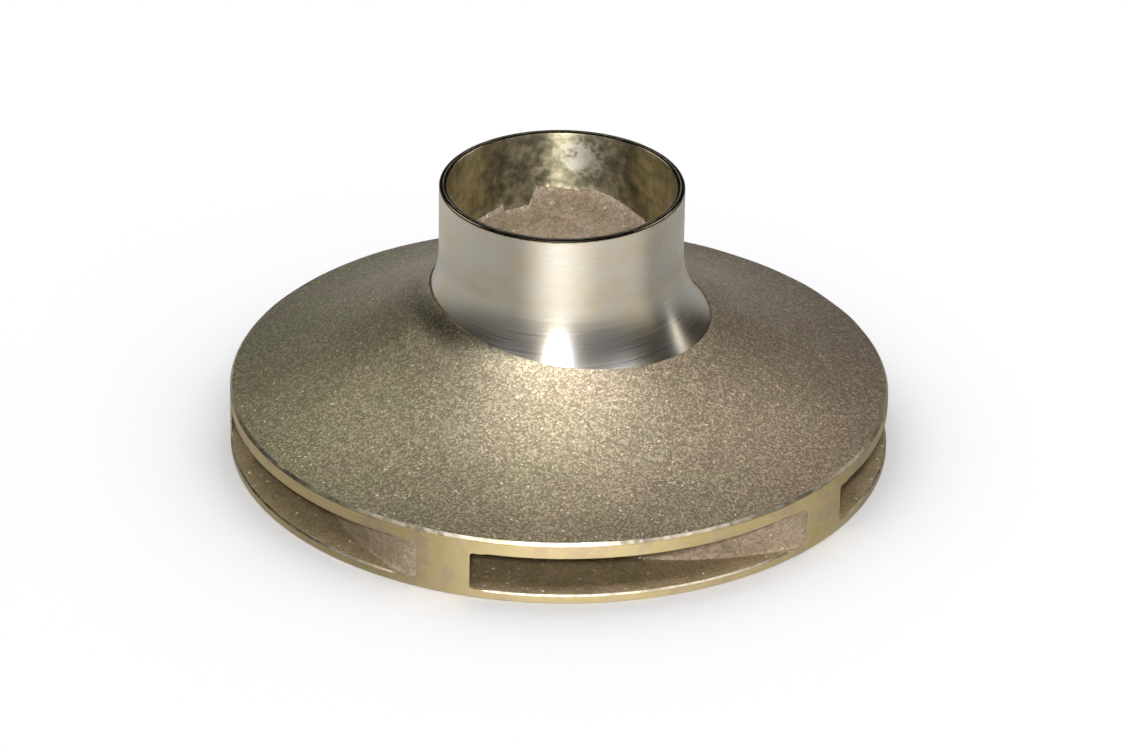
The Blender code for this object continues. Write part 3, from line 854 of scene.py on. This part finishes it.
def mirrored_table():
    """The table as the metal mirrors it, painted as a glowing sheet: greyer, with the flash's
    sheen towards the viewer.
    """
    grey = bpy.data.materials.new("painted_table_light")
    grey.use_nodes = True
    tree = grey.node_tree
    spot = add(tree, "TexCoord")["Object"]
    out = add(tree, "VectorMath", {0: spot, 1: TABLE_MIDDLE}, operation="DISTANCE")["Value"]
    table = add(tree, "MapRange", {0: out, 1: TABLE_END[0], 2: TABLE_END[1], 3: TABLE_GREY,
                                   4: ROOM_DARK}, interpolation_type="SMOOTHSTEP")[0]
    axes = add(tree, "SeparateXYZ", {0: spot})
    # painted light: the table in the metal is brighter towards -X and darker towards +X
    tilt = add(tree, "MapRange", {0: axes["X"], 1: -TABLE_TILT_HALF, 2: TABLE_TILT_HALF,
                                  3: TABLE_TILT[0], 4: TABLE_TILT[1]})[0]
    table = add(tree, "Math", {0: table, 1: tilt}, operation="MULTIPLY")["Value"]
    # painted sheen: the flash's reflection on the table, a fan towards the viewer and a weaker
    # one towards +X
    ahead = add(tree, "Math", {0: axes["Y"], 1: -1.0}, operation="MULTIPLY")["Value"]
    ahead = add(tree, "Math", {0: ahead, 1: SHEEN_START}, operation="MAXIMUM")["Value"]
    side = add(tree, "Math", {0: axes["X"], 1: SHEEN_SHIFT}, operation="SUBTRACT")["Value"]
    side = add(tree, "Math", {0: side, 1: ahead}, operation="DIVIDE")["Value"]
    weaker = add(tree, "MapRange", {0: side, 1: SIDE_SHEEN_START[0], 2: SIDE_SHEEN_START[1],
                                    4: SIDE_SHEEN}, interpolation_type="SMOOTHSTEP")[0]
    front = add(tree, "MapRange", {0: ahead, 1: SIDE_SHEEN_AHEAD[0], 2: SIDE_SHEEN_AHEAD[1]},
                interpolation_type="SMOOTHSTEP")[0]
    weaker = add(tree, "Math", {0: weaker, 1: front}, operation="MULTIPLY")["Value"]
    side = add(tree, "Math", {0: side}, operation="ABSOLUTE")["Value"]
    sheen = add(tree, "MapRange", {0: side, 2: SHEEN_SPREAD, 3: SHEEN_GLOW, 4: 0.0},
                interpolation_type="SMOOTHERSTEP")[0]
    sheen = add(tree, "Math", {0: sheen, 1: weaker}, operation="ADD")["Value"]
    fading = add(tree, "MapRange", {0: ahead, 1: SHEEN_END[0], 2: SHEEN_END[1], 3: 1.0, 4: 0.0},
                 interpolation_type="SMOOTHSTEP")[0]
    glow = add(tree, "Math", {0: sheen, 1: fading, 2: table}, operation="MULTIPLY_ADD")["Value"]
    # painted shadow: the table in the metal is darker beside the rim, where the casting shades it
    reach = add(tree, "VectorMath", {0: spot}, operation="LENGTH")["Value"]
    shade = add(tree, "MapRange", {0: reach, 1: CASTING_SHADE_END[0], 2: CASTING_SHADE_END[1],
                                   3: CASTING_SHADE, 4: 1.0},
                interpolation_type="SMOOTHSTEP")[0]
    glow = add(tree, "Math", {0: glow, 1: shade}, operation="MULTIPLY")["Value"]
    light = add(tree, "Emission", {"Strength": glow})["Emission"]
    tree.links.new(light, tree.nodes["Material Output"].inputs["Surface"])
    sheet = table_sheet("mirrored_table", -TABLE_UNDER, grey)
    sheet.visible_camera = False
    sheet.visible_shadow = False
    return sheet


def lamp(name, place, aim, size, power, colour="#FFFFFF"):
    """A soft rectangular light at a place, turned to face a point; sizes in metres."""
    data = bpy.data.lights.new(name, "AREA")
    data.shape = "RECTANGLE"
    data.size, data.size_y = size
    data.energy = power
    data.color = linear(colour)[:3]
    light = bpy.data.objects.new(name, data)
    light.location = place
    light.rotation_euler = (Vector(aim) - Vector(place)).to_track_quat("-Z", "Y").to_euler()
    light.visible_camera = False
    bpy.context.scene.collection.objects.link(light)
    return light


def towards(azimuth, elevation, distance):
    """A place in metres seen from the casting in that direction; azimuth 0 is the viewer."""
    turn, rise = radians(azimuth - 90), radians(elevation)
    return Vector((cos(turn) * cos(rise), sin(turn) * cos(rise), sin(rise))) * distance


def studio(floor):
    """A dark room with a grey ceiling, soft lights on the metal and one on the floor.

    The metal's main lights are the flash above the lens and the strip overhead. The softbox
    lights only the floor, and the flash, the strip and the two back lights leave it out, so
    the floor has one soft shadow round the rim.
    """
    flash = lamp("flash_above_lens", towards(-2, 32, 1.4), (0, 0, 0.03), (0.11, 0.14), 16,
                 COOL_WHITE)
    strip = lamp("overhead_strip", towards(5, 73, 1.15), (0, 0, 0.02), (1.9, 0.4), 13,
                 COOL_WHITE)
    back_left = lamp("back_left", towards(-140, 45, 1.2), (0, 0, 0.02), (0.5, 0.3), 1.35)
    back_right = lamp("back_right", towards(140, 45, 1.2), (0, 0, 0.02), (0.5, 0.3), 1.3)
    lamp("side_strip", towards(104, 18, 0.35), (0.03, 0, 0.035), (0.03, 0.14), 0.033)
    softbox = lamp("table_softbox", (0, 0, 1.5), (0, 0, 0), (10, 10), 362)
    only_floor = bpy.data.collections.new("lit_by_softbox")
    only_floor.objects.link(floor)
    softbox.light_linking.receiver_collection = only_floor
    all_but_floor = bpy.data.collections.new("lit_by_the_other_lights")
    all_but_floor.objects.link(floor)
    all_but_floor.collection_objects[0].light_linking.link_state = "EXCLUDE"
    for light in (flash, strip, back_left, back_right):
        light.light_linking.receiver_collection = all_but_floor
    world = bpy.data.worlds.new("dark_room")
    world.use_nodes = True
    bpy.context.scene.world = world
    tree = world.node_tree
    axes = add(tree, "SeparateXYZ", {0: add(tree, "TexCoord")["Generated"]})
    ceiling_light = add(tree, "MapRange", {0: axes["Z"], 1: CEILING_START[0],
                                           2: CEILING_START[1], 3: ROOM_DARK,
                                           4: CEILING_GREY},
                        interpolation_type="SMOOTHSTEP")[0]
    behind = add(tree, "MapRange", {0: axes["Y"], 1: BACK_WALL_START[0],
                                    2: BACK_WALL_START[1], 4: BACK_WALL_GREY},
                 interpolation_type="SMOOTHSTEP")[0]
    low = add(tree, "MapRange", {0: axes["Z"], 1: BACK_WALL_TOP[0], 2: BACK_WALL_TOP[1],
                                 3: 1.0, 4: 0.0}, interpolation_type="SMOOTHSTEP")[0]
    room = add(tree, "Math", {0: behind, 1: low, 2: ceiling_light},
               operation="MULTIPLY_ADD")["Value"]
    tree.links.new(room, tree.nodes["Background"].inputs["Color"])
    bpy.context.scene.view_settings.view_transform = "Standard"


def viewpoint():
    """The photograph's view: a long lens, slightly above the casting and slightly tilted."""
    data = bpy.data.cameras.new("viewpoint")
    data.sensor_width = SENSOR
    data.lens = LENS
    data.shift_x, data.shift_y = SHIFT
    data.clip_end = 20
    camera = bpy.data.objects.new("viewpoint", data)
    place = Vector((0, 0, RIM_TOP * MM)) + towards(0, VIEW_RISE, VIEW_DISTANCE)
    camera.matrix_world = (Matrix.Translation(place)
                           @ Matrix.Rotation(radians(90 - VIEW_RISE), 4, "X")
                           @ Matrix.Rotation(radians(VIEW_ROLL), 4, "Z"))
    bpy.context.scene.collection.objects.link(camera)
    bpy.context.scene.camera = camera


viewpoint()
studio(pale_floor())
mirrored_table()
white_backdrop()
turned = turned_bronze()
rim = rim_bronze()
edge_metal = edge_bronze()
end_face = faced_end_bronze()
faced = faced_back_bronze()
bored = bored_bronze()
blasted = blasted_bronze()
eye_wall = sandy_bronze("eye_wall_bronze", ("#9C8A6B", "#A89579", "#B09D85"), 0.3)
vane_skin = sandy_bronze("vane_skin_bronze", ("#9A896A", "#A89577", "#AE9A80"), 0.35)
passage = sandy_bronze("passage_floor_bronze", ("#877853", "#93805B", "#9C8566"), 0.35)

for piece, node, finish in (
    (suction_neck(), "suction_neck", "turned_bronze"),
    (front_shroud(), "front_shroud", "cast_bronze"),
    (back_shroud(), "back_shroud", "faced_bronze"),
    (hub(), "hub", "faced_bronze"),
    *((vane(number), f"vane_{number + 1}", "passage_bronze") for number in range(VANE_COUNT)),
):
    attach(piece, "root")
    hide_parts(node)
